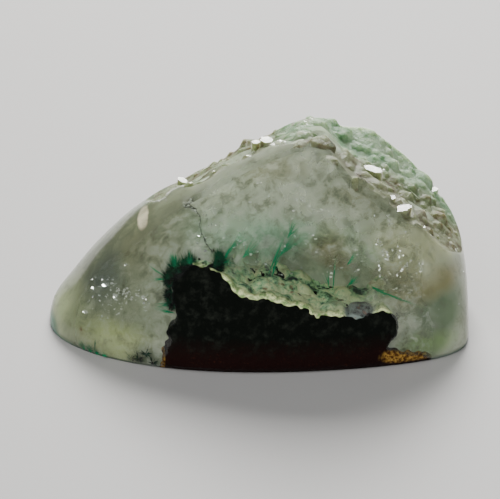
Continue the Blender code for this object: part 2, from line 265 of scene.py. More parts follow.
# %% [markdown]
# ## The polished dome
# A sphere with its poles at the two ends of the stone has rings that run like slices through it. It is bisected
# at the ground base, and then each of its points is carried to the same place on the ground form. The rings
# stay even, so the polish has no dents.

# %% Dome from a bisected sphere
DOME_RINGS = 112
DOME_SEGMENTS = 136
BASE_CROWDING = 1.5  # draws the points of each ring down to the chamfer


def ground_point(unit, raised):
    """The place on the ground form of a point on the unit sphere."""
    x = LENGTH / 2 * unit.x
    width, height, fullness = section(x, raised)
    if height <= 0 or width <= 0:
        return Vector((x, 0, 0))
    power = FRONT_FULLNESS if unit.y < 0 else fullness
    share = math.atan2(max(unit.z, 0.0), abs(unit.y)) / (math.pi / 2)
    angle = share**BASE_CROWDING * math.pi / 2
    lift = math.sin(angle) ** (2 / power)
    out = math.cos(angle) ** (2 / power)
    ease = min(CHAMFER / height, 0.5)
    if lift < ease:
        out *= 1 - 0.05 * (1 - lift / ease)
    return Vector((x, math.copysign(width * out, unit.y), height * lift))


def ground_dome(name, raised=False):
    let_go()
    bpy.ops.mesh.primitive_uv_sphere_add(
        segments=DOME_SEGMENTS, ring_count=DOME_RINGS, radius=1, rotation=(0, math.pi / 2, 0)
    )
    dome = named(name)
    bpy.ops.object.transform_apply(location=False, rotation=True, scale=False)
    bpy.ops.object.mode_set(mode="EDIT")
    bpy.ops.mesh.select_all(action="SELECT")
    bpy.ops.mesh.bisect(plane_co=(0, 0, 0), plane_no=(0, 0, 1), use_fill=True, clear_inner=True)
    bpy.ops.object.mode_set(mode="OBJECT")
    for vert in dome.data.vertices:
        vert.co = ground_point(vert.co, raised) * MM
    return dome


dome = ground_dome("chalcedony")
print(size_text(dome))

# %% [markdown]
# ## The natural surface
# Under its crystals the top is a wavy slope that falls to the right and to the back. A grid takes that height
# at each of its points and is extruded down into a block. The dome is trimmed with it.

# %% Block under the natural surface
GRID_LENGTH, GRID_WIDTH = 36.0, 24.0
BLOCK_FOOT = -2.0


def natural_block():
    let_go()
    bpy.ops.mesh.primitive_grid_add(x_subdivisions=72, y_subdivisions=48, size=1)
    block = named("natural_block")
    bpy.ops.object.mode_set(mode="EDIT")
    bpy.ops.mesh.extrude_region_move(TRANSFORM_OT_translate={"value": (0, 0, -1)})
    bpy.ops.object.mode_set(mode="OBJECT")
    for vert in block.data.vertices:
        x, y = vert.co.x * GRID_LENGTH, vert.co.y * GRID_WIDTH
        z = BLOCK_FOOT if vert.co.z < -0.5 else druse_floor(x, y)
        vert.co = Vector((x, y, z)) * MM
    return face_outwards(block)


combine(dome, "INTERSECT", natural_block())
print(size_text(dome))

# %% [markdown]
# ## The druse
# A quartz crystal is a six-sided prism with a pointed end, and its point is seldom in the middle. Three are
# modelled, and copies of them stand on a jittered net, each turned, leant and sized by seeded chance, with a
# second net of small ones in the gaps. They are trimmed where the sides were ground, and joined to the body, so
# that light crosses no surface between them.

# %% Crystals and their places, in millimetres
NETS = [  # seed, spacing, smallest, largest and usual radius, jitter
    (7, 1.7, (0.8, 1.4, 1.0), 0.45),
    (5, 0.9, (0.3, 0.7, 0.45), 0.3),
]
CRYSTAL_LEAN = 0.26
NECK = (-0.5, 0.0)  # height of the prism's neck over the floor, over its radius
PYRAMID_SLOPE = 0.6
PRISM_DEPTH = 1.2
POINTS = [(0.05, 0.0), (0.22, 0.08), (-0.15, 0.2)]  # where the point of each pattern is, from its middle
LEFT_CRYSTALS = 0.55
LEFT_CRYSTALS_END = -3.0
DRUSE_SPAN = ((-8.5, 16.0), (-8.0, 9.5))
SLOPE_STEP = 0.47
CRUST_VOXEL = 0.13
CRUST_WEAR = 3  # rounds of smoothing


def pattern_crystal(point):
    """A crystal of radius 1 with its prism's neck at the origin."""
    let_go()
    bpy.ops.mesh.primitive_cylinder_add(
        vertices=6, radius=1, depth=PRISM_DEPTH, location=(0, 0, -PRISM_DEPTH / 2)
    )
    crystal = named("pattern_crystal")
    bpy.ops.object.transform_apply(location=True, rotation=False, scale=False)
    select_where(crystal, lambda co: co.z > -0.1)
    bpy.ops.mesh.extrude_region_move(TRANSFORM_OT_translate={"value": (*point, PYRAMID_SLOPE)})
    bpy.ops.mesh.merge(type="CENTER")
    bpy.ops.object.mode_set(mode="OBJECT")
    return crystal


def crystal_sites(seed, spacing, radii, jitter):
    """Foot point, direction, turn, radius and neck height over radius of each crystal on one net."""
    rng = random.Random(seed)
    (x_low, x_high), (y_low, y_high) = DRUSE_SPAN
    sites = []
    row_step = spacing * math.sqrt(3) / 2
    for row in range(int((y_high - y_low) / row_step) + 1):
        for column in range(int((x_high - x_low) / spacing) + 1):
            x = x_low + (column + 0.5 * (row % 2)) * spacing + rng.gauss(0, jitter)
            y = y_low + row * row_step + rng.gauss(0, jitter)
            radius = rng.triangular(*radii)
            turn, neck = rng.uniform(0, math.pi / 3), rng.uniform(*NECK)
            lean_x, lean_y = rng.gauss(0, CRYSTAL_LEAN), rng.gauss(0, CRYSTAL_LEAN)
            if x < LEFT_CRYSTALS_END:
                radius *= LEFT_CRYSTALS
            floor = druse_floor(x, y)
            if ground_height(x, y) < floor:
                continue
            run = 2 * SLOPE_STEP
            slope_x = (druse_floor(x + SLOPE_STEP, y) - druse_floor(x - SLOPE_STEP, y)) / run
            slope_y = (druse_floor(x, y + SLOPE_STEP) - druse_floor(x, y - SLOPE_STEP)) / run
            direction = Vector((lean_x - slope_x, lean_y - slope_y, 1.0)).normalized()
            sites.append((Vector((x, y, floor)), direction, turn, radius, neck))
    return sites


def crystal_place(foot, direction, turn, radius, neck):
    """The matrix that sets a pattern crystal in its place."""
    spin = direction.to_track_quat("Z", "Y").to_matrix().to_4x4() @ Matrix.Rotation(turn, 4, "Z")
    rise = Matrix.Translation((0, 0, neck * radius * MM))
    return Matrix.Translation(foot * MM) @ spin @ rise @ Matrix.Scale(radius * MM, 4)


def crystal_crust():
    """All the crystals as one solid, trimmed where the sides were ground."""
    sites = [site for net in NETS for site in crystal_sites(*net)]
    print(len(sites), "crystals")
    groups = []
    for kind, point in enumerate(POINTS):
        places = [crystal_place(*site) for site in sites[kind :: len(POINTS)]]
        groups.append(joined_copies("crystals", pattern_crystal(point), places))
    crust = joined(groups)
    modify(crust, "REMESH", mode="VOXEL", voxel_size=CRUST_VOXEL * MM)
    modify(crust, "SMOOTH", factor=0.5, iterations=CRUST_WEAR)
    return combine(crust, "INTERSECT", ground_dome("reach", raised=True), solver="MANIFOLD")


combine(dome, "UNION", crystal_crust(), solver="MANIFOLD")
print(size_text(dome))

# %% [markdown]
# A few crystals kept a clean flat end. Each is a low six-sided prism that stands in the worn crust, and its end
# faces the light of the window.

# %% Clean crystal ends, in millimetres
CLEAN_ENDS = [  # middle of the end, half sizes, turn
    ((8.6, -0.6, 12.75), (0.45, 0.85), 0.5),
    ((10.7, -4.3, 11.2), (0.85, 0.45), 0.2),
    ((9.9, -3.6, 11.75), (0.35, 0.3), 0.1),
    ((0.6, 1.0, 14.45), (0.5, 0.55), 0.3),
    ((-0.2, 1.4, 14.1), (0.35, 0.3), 0.0),
    ((-5.8, 3.2, 10.15), (0.3, 0.55), 0.2),
    ((13.5, 4.6, 8.75), (0.4, 0.3), 0.4),
]
FACING = Vector((0.05, -0.1, 1.0)).normalized()


def tilted(place, way, turn, sizes):
    """The matrix that sets a pattern at a place with its axis along the way."""
    spin = way.to_track_quat("Z", "Y").to_matrix().to_4x4() @ Matrix.Rotation(turn, 4, "Z")
    return Matrix.Translation(Vector(place) * MM) @ spin @ Matrix.Diagonal((*sizes, 1)) @ Matrix.Scale(MM, 4)


def clean_ends():
    let_go()
    bpy.ops.mesh.primitive_cylinder_add(vertices=6, radius=1, depth=1, location=(0, 0, -0.5))
    pattern = named("pattern_end")
    bpy.ops.object.transform_apply(location=True, rotation=False, scale=False)
    places = [tilted(place, FACING, turn, (*sizes, 1.0)) for place, sizes, turn in CLEAN_ENDS]
    return joined_copies("clean_ends", pattern, places)


combine(dome, "UNION", clean_ends(), solver="MANIFOLD")
print(size_text(dome))

# %% [markdown]
# ## The host rock
# The rock's outline on the polished front is drawn on a circle, which is extruded back through the sections of
# the mass. A voxel remesh makes the faces small and even, and two cloud patterns push them in and out, so that
# the outline is ragged where it meets the polish. Trimmed by the dome, the rock is flush with the polish and
# flat below.

# %% Outline and sections of the rock, in millimetres
ROCK_LEFT = [
    (-7.35, 0.0), (-6.95, 1.2), (-6.35, 2.4), (-6.75, 2.9), (-6.1, 3.6), (-5.8, 4.2), (-6.35, 5.1),
    (-6.3, 6.3), (-5.3, 7.1),
]
ROCK_CROWN = [
    (-3.8, 7.25), (-2.7, 6.8), (-1.8, 6.0), (-0.4, 5.6), (0.6, 5.8), (1.7, 5.3), (3.2, 4.95), (4.3, 4.4),
    (6.0, 4.4), (7.5, 4.0), (9.2, 4.3), (10.0, 3.7),
]
ROCK_RIGHT = [(10.25, 2.9), (9.7, 2.2), (9.5, 1.4), (10.6, 0.95), (12.7, 0.45), (12.9, 0.0)]
ROCK_EDGE = ROCK_LEFT + ROCK_CROWN + ROCK_RIGHT
ROCK_SECTIONS = [  # y, share of the width, share of the height
    (-12.0, 1.0, 1.0), (-9.5, 1.0, 1.0), (-8.0, 1.0, 1.02), (-6.5, 0.99, 1.05), (-5.0, 0.98, 1.08),
    (-3.5, 0.95, 1.10), (-2.0, 0.91, 1.08), (-0.5, 0.85, 1.0), (1.0, 0.76, 0.84), (2.2, 0.62, 0.62),
]
ROCK_MIDDLE = 2.0
ROCK_FOOT = -1.0
ROCK_GROWTH = 0.12
ROCK_VOXEL = 0.13
ROCK_RELIEF = ((0.6, 1.1), (0.9, 0.36))  # depth and grain of the two cloud patterns


def grown(edge, distance):
    """An open outline moved outwards by a distance."""
    moved = []
    for i, (x, z) in enumerate(edge):
        before, after = edge[max(i - 1, 0)], edge[min(i + 1, len(edge) - 1)]
        run = Vector((after[0] - before[0], after[1] - before[1])).normalized()
        moved.append((x - run.y * distance, z + run.x * distance))
    return moved


def rock_prism(name):
    edge = grown(ROCK_EDGE, ROCK_GROWTH)
    outline = [(edge[0][0], ROCK_FOOT)] + edge + [(edge[-1][0], ROCK_FOOT)]
    let_go()
    bpy.ops.mesh.primitive_circle_add(vertices=len(outline), radius=1, fill_type="NGON")
    prism = named(name)
    y, wide, high = ROCK_SECTIONS[0]
    for vert, (x, z) in zip(prism.data.vertices, outline):
        vert.co = Vector((x, y, z)) * MM
    bpy.ops.object.mode_set(mode="EDIT")
    bpy.ops.mesh.select_all(action="SELECT")
    for next_y, next_wide, next_high in ROCK_SECTIONS[1:]:
        bpy.ops.mesh.extrude_region_move(TRANSFORM_OT_translate={"value": (0, (next_y - y) * MM, 0)})
        bpy.ops.transform.resize(
            value=(next_wide / wide, 1, next_high / high), center_override=(ROCK_MIDDLE * MM, 0, 0)
        )
        y, wide, high = next_y, next_wide, next_high
    bpy.ops.object.mode_set(mode="OBJECT")
    return face_outwards(prism)


def clouds(grain):
    pattern = bpy.data.textures.new("clouds", "CLOUDS")
    pattern.noise_scale = grain * MM
    pattern.noise_depth = 3
    return pattern


rough_rock = rock_prism("host_rock_rough")
modify(rough_rock, "REMESH", mode="VOXEL", voxel_size=ROCK_VOXEL * MM)
for depth, grain in ROCK_RELIEF:
    modify(rough_rock, "DISPLACE", texture=clouds(grain), texture_coords="LOCAL", strength=depth * MM)
modify(rough_rock, "REMESH", mode="VOXEL", voxel_size=ROCK_VOXEL * MM)
print(size_text(rough_rock))

# %% [markdown]
# ## The rind
# Chrysocolla grew on the rock as a crust of small round lumps before the chalcedony covered it. A grid takes
# the height of the rock's top and is extruded down into a slab. The height of a lump is that of a ball over its
# middle, and the highest ball wins, so the lumps meet in sharp valleys as they do on the stone.

# %% Rind as a lumpy slab, in millimetres
RIND_SPAN = ((-4.9, 9.9), (-10.5, 1.2))
RIND_LEAST = 0.2
RIND_THIN_LEFT = (-4.9, -2.2)  # where its lumps grow from a fifth to their full height
RIND_FOOT = -0.6
LUMP_SPACING = 0.85
LUMP_RADII = (0.42, 0.85)
LUMP_FLATNESS = 0.9
BUBBLE = (7.45, -7.75, 1.05)
RIND_GRID = (132, 90)


def rock_share(y):
    """Share of the width and of the height that the rock has at y."""
    for (y0, wide0, high0), (y1, wide1, high1) in zip(ROCK_SECTIONS, ROCK_SECTIONS[1:]):
        if y <= y1:
            break
    return fade(y, (y0, y1), (wide0, wide1)), fade(y, (y0, y1), (high0, high1))


def rock_top(x, y):
    wide, high = rock_share(y)
    across = ROCK_MIDDLE + (x - ROCK_MIDDLE) / wide
    for (x0, z0), (x1, z1) in zip(ROCK_CROWN, ROCK_CROWN[1:]):
        if across <= x1:
            break
    return high * fade(across, (x0, x1), (z0, z1))


def lump_sites():
    rng = random.Random(3)
    (x_low, x_high), (y_low, y_high) = RIND_SPAN
    sites = []
    for row in range(int((y_high - y_low) / LUMP_SPACING) + 2):
        for column in range(int((x_high - x_low) / LUMP_SPACING) + 2):
            x = x_low + (column + 0.5 * (row % 2)) * LUMP_SPACING + rng.gauss(0, 0.2)
            y = y_low + row * LUMP_SPACING + rng.gauss(0, 0.2)
            sites.append((x, y, rng.uniform(*LUMP_RADII)))
    return sites


LUMPS = lump_sites()


def rind_rise(x, y):
    """Height of the rind over the rock: the highest of the balls that lie on it."""
    best = RIND_LEAST
    for bump_x, bump_y, radius in [*LUMPS, BUBBLE]:
        apart = (x - bump_x) ** 2 + (y - bump_y) ** 2
        if apart < radius**2:
            best = max(best, math.sqrt(radius**2 - apart) * LUMP_FLATNESS)
    return best * fade(x, RIND_THIN_LEFT, (0.2, 1.0))


def rind_slab(name):
    let_go()
    bpy.ops.mesh.primitive_grid_add(x_subdivisions=RIND_GRID[0], y_subdivisions=RIND_GRID[1], size=1)
    slab = named(name)
    bpy.ops.object.mode_set(mode="EDIT")
    bpy.ops.mesh.extrude_region_move(TRANSFORM_OT_translate={"value": (0, 0, -1)})
    bpy.ops.object.mode_set(mode="OBJECT")
    for vert in slab.data.vertices:
        x = fade(vert.co.x, (-0.5, 0.5), RIND_SPAN[0])
        y = fade(vert.co.y, (-0.5, 0.5), RIND_SPAN[1])
        rise = RIND_FOOT if vert.co.z < -0.5 else rind_rise(x, y)
        vert.co = Vector((x, y, rock_top(x, y) + rise)) * MM
    return face_outwards(slab)


rough_rind = rind_slab("chrysocolla_crust")
print(size_text(rough_rind))

# %% [markdown]
# ## The room in the chalcedony
# The rock and its rind are grown into the chalcedony with no air between them. Copies of both are drawn in a
# little and cut from the body, so that light in the stone meets the rock itself and never a film of air. Where
# the rock is exposed there is no chalcedony over it.

# %% Cut the room and trim the rock and its rind
SHORTFALL = 0.1
UNDER_POLISH = 0.02


def drawn_in(item, distance):
    return modify(item, "DISPLACE", strength=-distance * MM, mid_level=0.0)


for item in (rough_rock, rough_rind):
    combine(dome, "DIFFERENCE", drawn_in(copy_of(item, "room"), SHORTFALL), solver="MANIFOLD")
    print(size_text(dome))
body = take(dome)
body.name = body.data.name = "chalcedony_body"
bpy.ops.object.shade_smooth_by_angle(angle=math.radians(18))

trim = drawn_in(ground_dome("trim"), UNDER_POLISH)
for vert in trim.data.vertices:
    vert.co.z = max(vert.co.z, 0.0) if vert.co.z > 2 * UNDER_POLISH * MM else 0.0
combine(rough_rind, "DIFFERENCE", copy_of(rough_rock, "room"), solver="MANIFOLD")
rind = combine(rough_rind, "INTERSECT", copy_of(trim, "trim_rind"), solver="MANIFOLD")
rock = combine(rough_rock, "INTERSECT", trim, solver="MANIFOLD")
for item in (rock, rind):
    take(item)
    bpy.ops.object.shade_smooth_by_angle(angle=math.radians(40))
    print(size_text(item))

# %% [markdown]
# The chalcedony's material has to know which faces are natural and which are polished. A face is polished where
# it lies on the ground form and faces the same way. The rest of the top is natural. The answer is kept on the
# faces as an attribute.

# %% Mark the natural faces
ON_FORM = (0.97, 1.004)  # how far from the ground form a polished face may be, as a share
SAME_WAY = 0.93
UNDER_CRYSTALS = 0.5  # nothing outside is natural so far below the floor of the druse


def is_polished(face):
    x, y, z = face.center / MM
    width, height, fullness = section(x)
    power = FRONT_FULLNESS if y < 0 else fullness
    across, up = abs(y) / width, z / height
    outward = Vector((0, math.copysign(across ** (power - 1) / width, y), up ** (power - 1) / height))
    flat = Vector((0, face.normal.y, face.normal.z))
    level = ON_FORM[0] < across**power + up**power < ON_FORM[1]
    same_way = flat.normalized().dot(outward.normalized()) > SAME_WAY
    under = z < druse_floor(x, y) - UNDER_CRYSTALS
    return level and same_way or under or face.normal.dot(FACING) > 0.9999


natural = body.data.attributes.new("natural", "FLOAT", "FACE")
for face, mark in zip(body.data.polygons, natural.data):
    mark.value = 0.0 if is_polished(face) else 1.0
print(round(sum(mark.value for mark in natural.data) / len(natural.data), 3), "of the faces are natural or hidden")

# %% [markdown]
# The rind is cream only where it was cut open by the polish, so its points keep how far they lie behind the
# polished front.

# %% Mark the depth of the rind
behind = rind.data.attributes.new("behind", "FLOAT", "POINT")
for vert, mark in zip(rind.data.vertices, behind.data):
    x, y, z = vert.co / MM
    mark.value = y - front_y(x, z)

# %% [markdown]
# ## Malachite
# Malachite grew as sprays of needles. One needle is a long five-sided cone. In a tuft, copies of it stand in all
# directions round two or three middles, longest the way that the tuft leans, so the middle is dense and dark. A
# loose spray is a narrow fan of them. All lie a little way behind the polished front.

# %% Tufts and sprays, in millimetres
TUFTS = {  # middles (x, z), depth behind the front, lean (x, z, depth), reach, needles
    "malachite_tuft_upper": (
        [(-6.5, 6.3), (-6.1, 6.9), (-5.4, 7.1), (-4.9, 7.4)], 0.3, (-0.4, 0.8, -0.1), 1.15, 4200
    ),
    "malachite_tuft_lower": ([(-6.5, 5.4), (-6.35, 4.9)], 0.3, (-0.8, 0.1, -0.1), 0.8, 1800),
    "malachite_tuft_middle": ([(-3.0, 7.6), (-2.9, 8.1)], 0.3, (0.2, 0.9, -0.1), 0.85, 2600),
}
SMOKE = ([(-8.9, 0.4), (-8.3, 0.9), (-7.8, 0.3), (-9.4, 0.3)], 0.7, (-0.2, 0.9, -0.1), 1.0, 500)
NEEDLE_RADIUS = 0.045
SPRAY_RADIUS = 0.024
LEAST_DEPTH = 0.06
SPRAYS = [  # start (x, z), end (x, z), depth behind the front, spread, needles
    ((-7.0, 6.6), (-8.2, 6.9), 0.25, 0.05, 14),
    ((-7.0, 6.4), (-8.0, 6.2), 0.25, 0.12, 14),
    ((-6.1, 7.2), (-6.3, 8.1), 0.2, 0.6, 90),
    ((-5.1, 7.5), (-5.0, 8.3), 0.2, 0.6, 90),
    ((-2.7, 8.0), (-1.75, 9.4), 0.3, 0.12, 40),
    ((-2.9, 7.9), (-1.9, 8.3), 0.25, 0.25, 40),
    ((0.72, 7.5), (2.05, 10.4), 0.3, 0.03, 24),
    ((1.0, 7.3), (1.6, 9.4), 0.5, 0.12, 20),
    ((2.1, 9.9), (2.9, 11.0), 0.3, 0.25, 40),
    ((1.4, 8.6), (3.4, 10.6), 0.4, 0.2, 30),
    ((-1.2, 8.4), (0.2, 9.6), 0.4, 0.3, 30),
    ((-2.4, 8.6), (-0.6, 10.4), 0.3, 0.12, 24),
    ((5.43, 6.2), (5.65, 8.5), 0.35, 0.04, 20),
    ((5.2, 6.4), (4.9, 7.8), 0.5, 0.15, 16),
    ((6.5, 8.0), (7.2, 8.9), 0.4, 0.15, 20),
    ((8.3, 6.3), (11.7, 4.5), 0.3, 0.02, 26),
    ((8.3, 6.4), (9.8, 5.4), 0.3, 0.12, 24),
    ((6.6, 6.6), (7.4, 7.2), 0.35, 0.3, 40),
    ((-6.2, 4.3), (-7.8, 4.4), 0.3, 0.1, 26),
    ((-6.1, 5.0), (-7.6, 4.5), 0.3, 0.15, 26),
    ((-12.3, 0.15), (-12.2, 1.35), 0.12, 0.05, 30),
    ((-13.1, 0.15), (-13.4, 0.8), 0.12, 0.4, 120),
    ((-12.7, 0.15), (-12.6, 0.8), 0.12, 0.5, 120),
    ((-12.2, 0.15), (-12.0, 0.6), 0.12, 0.6, 90),
    ((-11.7, 0.15), (-11.3, 0.4), 0.12, 0.6, 60),
]


def behind_front(x, z, depth):
    return Vector((x, front_y(x, z) + depth, z)) * MM


def is_inside(point):
    """Whether a point lies in the stone, a little way from its outside."""
    x, y, z = point / MM
    return z > 0.03 and ground_height(x, y) > z + 0.03


def pattern_needle():
    let_go()
    bpy.ops.mesh.primitive_cone_add(vertices=4, radius1=1, radius2=0, depth=1, location=(0, 0, 0.5))
    needle = named("pattern_needle")
    bpy.ops.object.transform_apply(location=True, rotation=False, scale=False)
    return needle


def needles(name, spans):
    """Needles from spans, which hold a foot and a tip as x, z and depth behind the front, and a radius."""
    places = []
    for foot, tip, radius in spans:
        low_end = behind_front(*foot)
        high_end = behind_front(tip[0], tip[1], max(tip[2], LEAST_DEPTH))
        way = high_end - low_end
        if is_inside(low_end) and is_inside(high_end):
            turn = way.to_track_quat("Z", "Y").to_matrix().to_4x4()
            size = Matrix.Diagonal((radius * MM, radius * MM, way.length, 1))
            places.append(Matrix.Translation(low_end) @ turn @ size)
    return joined_copies(name, pattern_needle(), places)


def tuft(name, middles, depth, lean, reach, count):
    rng = random.Random(name)
    lean = Vector(lean).normalized()
    spans = []
    for i in range(count):
        foot = Vector((*middles[i % len(middles)], depth))
        way = Vector([rng.gauss(0, 1) for _ in range(3)]).normalized()
        length = reach * (0.72 + 0.28 * way.dot(lean)) * rng.uniform(0.3, 1.0)
        tip = foot + way * length
        spans.append((foot, tip, NEEDLE_RADIUS * rng.uniform(0.6, 1.3)))
    return needles(name, spans)


def sprays(name, bundles, thickness):
    rng = random.Random(11)
    spans = []
    for start, end, depth, spread, count in bundles:
        foot, whole = Vector((*start, depth)), Vector((*end, depth)) - Vector((*start, depth))
        for _ in range(count):
            way = whole.normalized() + Vector([rng.gauss(0, spread) for _ in range(3)])
            length = whole.length * rng.uniform(0.4, 1.0)
            slip = whole * rng.uniform(0, 0.25)
            tip = foot + slip + way.normalized() * length
            spans.append((foot + slip, tip, thickness * rng.uniform(0.5, 1.1)))
    return needles(name, spans)


tufts = {node: tuft(node.replace("tuft", "needles"), *sizes) for node, sizes in TUFTS.items()}
smoke = tuft("malachite_smoke", *SMOKE)
loose_needles = sprays("malachite_sprays", SPRAYS, SPRAY_RADIUS)
for item in [*tufts.values(), smoke, loose_needles]:
    print(size_text(item))

# %% [markdown]
# ## Flakes and a crack
# Small flat flaws inside the stone catch the window's light. A flake is a five-sided plate, and copies of it lie
# nearly level at the places where the stone glitters. Their material also has a weak emission, a painted glow
# that stands in for glints where the milky top keeps the light from them. One thin crack runs down from the left
# ridge.

# %% Flakes and crack, in millimetres
FLAKES = [  # middle (x, z), half sizes, turn
    ((-12.96, 2.77), (0.3, 0.45), 0.4), ((-10.75, 4.57), (0.38, 0.3), 0.9), ((-9.99, 5.09), (0.22, 0.2), 0.2),
    ((-11.5, 4.9), (0.3, 0.5), 1.2), ((-9.9, 6.5), (0.2, 0.12), 0.3), ((-8.62, 5.04), (0.3, 0.2), 2.0),
    ((-3.1, 10.2), (0.16, 0.2), 0.7), ((5.3, 8.1), (0.2, 0.14), 0.2), ((6.8, 7.9), (0.1, 0.2), 0.2),
    ((0.5, 8.2), (0.2, 0.16), 1.1), ((7.3, 10.4), (0.12, 0.3), 0.1), ((11.9, 5.5), (0.15, 0.2), 0.4),
    ((12.3, 3.7), (0.2, 0.2), 0.0), ((11.3, 5.8), (0.2, 0.2), 0.5), ((-4.4, 9.4), (0.15, 0.15), 0.5),
]
FLAKE_CLOUDS = [  # middle (x, z), reach (x, z), count
    ((-10.9, 4.8), (1.1, 0.35), 50), ((-12.3, 5.4), (0.7, 1.2), 30), ((-8.9, 5.0), (0.7, 0.3), 20),
    ((-11.3, 3.3), (1.2, 0.45), 26), ((1.0, 10.4), (4.5, 1.4), 70), ((10.9, 6.6), (1.0, 1.2), 50),
    ((13.6, 3.4), (0.8, 1.2), 50), ((4.5, 7.8), (3.5, 0.5), 20),
]
FEATHERS = [  # rows of flakes: start (x, z), end (x, z), width, count
    ((8.75, 9.6), (9.6, 8.1), 0.09, 34), ((9.6, 11.0), (9.7, 10.3), 0.05, 12),
    ((10.25, 7.0), (11.25, 7.75), 0.05, 22), ((10.1, 8.8), (10.5, 8.1), 0.16, 16),
    ((8.8, 8.1), (8.95, 7.1), 0.06, 12), ((12.1, 7.8), (12.3, 7.2), 0.12, 10),
    ((-4.0, 10.6), (-3.6, 10.0), 0.08, 10), ((-1.6, 10.0), (-1.2, 9.3), 0.14, 14),
    ((-10.6, 5.2), (-9.6, 4.9), 0.16, 14), ((-9.0, 5.1), (-8.3, 4.9), 0.1, 8),
]
FLAKE_DEPTH = (0.08, 0.4)
FLAKE_SIZES = (0.05, 0.2)
FEATHER_SIZES = (0.04, 0.12)
UPRIGHT = Vector((0.0, -1.0, 0.3))
CRACK = [
    (-5.6, 10.35), (-5.1, 10.5), (-4.6, 10.4), (-4.3, 10.2), (-4.4, 9.85), (-4.25, 9.45), (-4.05, 9.2),
    (-3.85, 8.95), (-3.6, 8.7), (-3.4, 8.5),
]
CRACK_DEPTH = 1.6


def flakes(name):
    rng = random.Random(21)
    let_go()
    bpy.ops.mesh.primitive_circle_add(vertices=5, radius=1, fill_type="NGON")
    pattern = named("pattern_flake")
    for vert in pattern.data.vertices:
        vert.co *= rng.uniform(0.4, 1.25)
    spots = [(*flake, 0.04, FACING) for flake in FLAKES]
    for (x, z), (reach_x, reach_z), count in FLAKE_CLOUDS:
        for _ in range(count):
            spot = (rng.gauss(x, reach_x), rng.gauss(z, reach_z))
            sizes = (rng.uniform(*FLAKE_SIZES), rng.uniform(*FLAKE_SIZES))
            if ground_height(spot[0], 0) > spot[1] + 0.6:
                spots.append((spot, sizes, rng.uniform(0, 3), 0.14, FACING))
    for (x0, z0), (x1, z1), width, count in FEATHERS:
        for i in range(count):
            share = i / (count - 1)
            spot = (x0 + share * (x1 - x0) + rng.gauss(0, width), z0 + share * (z1 - z0) + rng.gauss(0, width))
            sizes = (rng.uniform(*FEATHER_SIZES), rng.uniform(*FEATHER_SIZES))
            spots.append((spot, sizes, rng.uniform(0, 3), 0.3, UPRIGHT))
    places = []
    for (x, z), sizes, turn, tilt, facing in spots:
        way = facing + Vector([rng.gauss(0, tilt) for _ in range(3)])
        spot = behind_front(x, z, rng.uniform(*FLAKE_DEPTH)) / MM
        places.append(tilted(spot, way.normalized(), turn, (*sizes, 1)))
    return joined_copies(name, pattern, places)


def crack(name):
    steps = 5 * (len(CRACK) - 1)
    let_go()
    bpy.ops.mesh.primitive_grid_add(x_subdivisions=steps, y_subdivisions=3, size=1)
    sheet = named(name)
    for vert in sheet.data.vertices:
        place = (vert.co.x + 0.5) * (len(CRACK) - 1)
        i = min(int(place), len(CRACK) - 2)
        x = fade(place, (i, i + 1), (CRACK[i][0], CRACK[i + 1][0]))
        z = fade(place, (i, i + 1), (CRACK[i][1], CRACK[i + 1][1]))
        vert.co = behind_front(x, z, 0.1 + (vert.co.y + 0.5) * CRACK_DEPTH)
    return modify(sheet, "DISPLACE", texture=clouds(0.4), texture_coords="LOCAL", strength=0.25 * MM)


glints = flakes("flaw_flakes")
crack_sheet = crack("crack")
for item in (glints, crack_sheet):
    print(size_text(item))

# %% [markdown]
# ## Veils
# The milkiness of the stone lies in clouds at several depths behind the front. Each is a sheet that follows the
# polished front at its own depth and is pushed about by a cloud pattern. Its material leaves holes in it.

# %% Veils behind the front, in millimetres
VEILS = [  # depth behind the front, waviness, least chalcedony over it
    ("veil_near", 0.6, 0.3, 0.5), ("veil_middle", 2.4, 1.6, 0.4), ("veil_far", 4.6, 2.0, 0.3),
    ("veil_inmost", 9.4, 1.2, 0.3),
]
VEIL_SPAN = ((-15.4, 15.3), 0.15)  # from and to x, and the height of the lower edge
VEIL_GRID = (90, 46)


def veil(name, depth, waviness, cover):
    let_go()
    bpy.ops.mesh.primitive_grid_add(x_subdivisions=VEIL_GRID[0], y_subdivisions=VEIL_GRID[1], size=1)
    sheet = named(name)
    for vert in sheet.data.vertices:
        x = fade(vert.co.x, (-0.5, 0.5), VEIL_SPAN[0])
        top = min(section(x)[1], druse_floor(x, -2.0)) - cover
        z = fade(vert.co.y, (-0.5, 0.5), (VEIL_SPAN[1], max(top, VEIL_SPAN[1])))
        vert.co = Vector((x, min(front_y(x, z) + depth, 0.2 * depth), z)) * MM
    modify(sheet, "DISPLACE", texture=clouds(3.0), texture_coords="LOCAL", strength=waviness * MM)
    take(sheet)
    bpy.ops.object.shade_smooth()
    return sheet


veils = [veil(*sizes) for sizes in VEILS]
for item in veils:
    print(size_text(item))

# %% [markdown]
# ## Shader maths as expressions
# A small class wraps a socket, so that sums and products of patterns read as Python.

# %% Values, colours and one way to add a node
class Value:
    def __init__(self, finish, socket):
        self.finish = finish
        self.socket = socket

    def math(self, operation, *others):
        inputs = {0: self, **dict(enumerate(others, 1))}
        return self.finish.add("ShaderNodeMath", {"operation": operation}, inputs)

    def __add__(self, other):
        return self.math("ADD", other)

    __radd__ = __add__

    def __mul__(self, other):
        return self.math("MULTIPLY", other)

    __rmul__ = __mul__

    def __sub__(self, other):
        return self.math("SUBTRACT", other)

    def __rsub__(self, other):
        return self.finish.add("ShaderNodeMath", {"operation": "SUBTRACT"}, {0: other, 1: self})

    def clamped(self):
        return self.finish.add("ShaderNodeClamp", {}, {0: self})


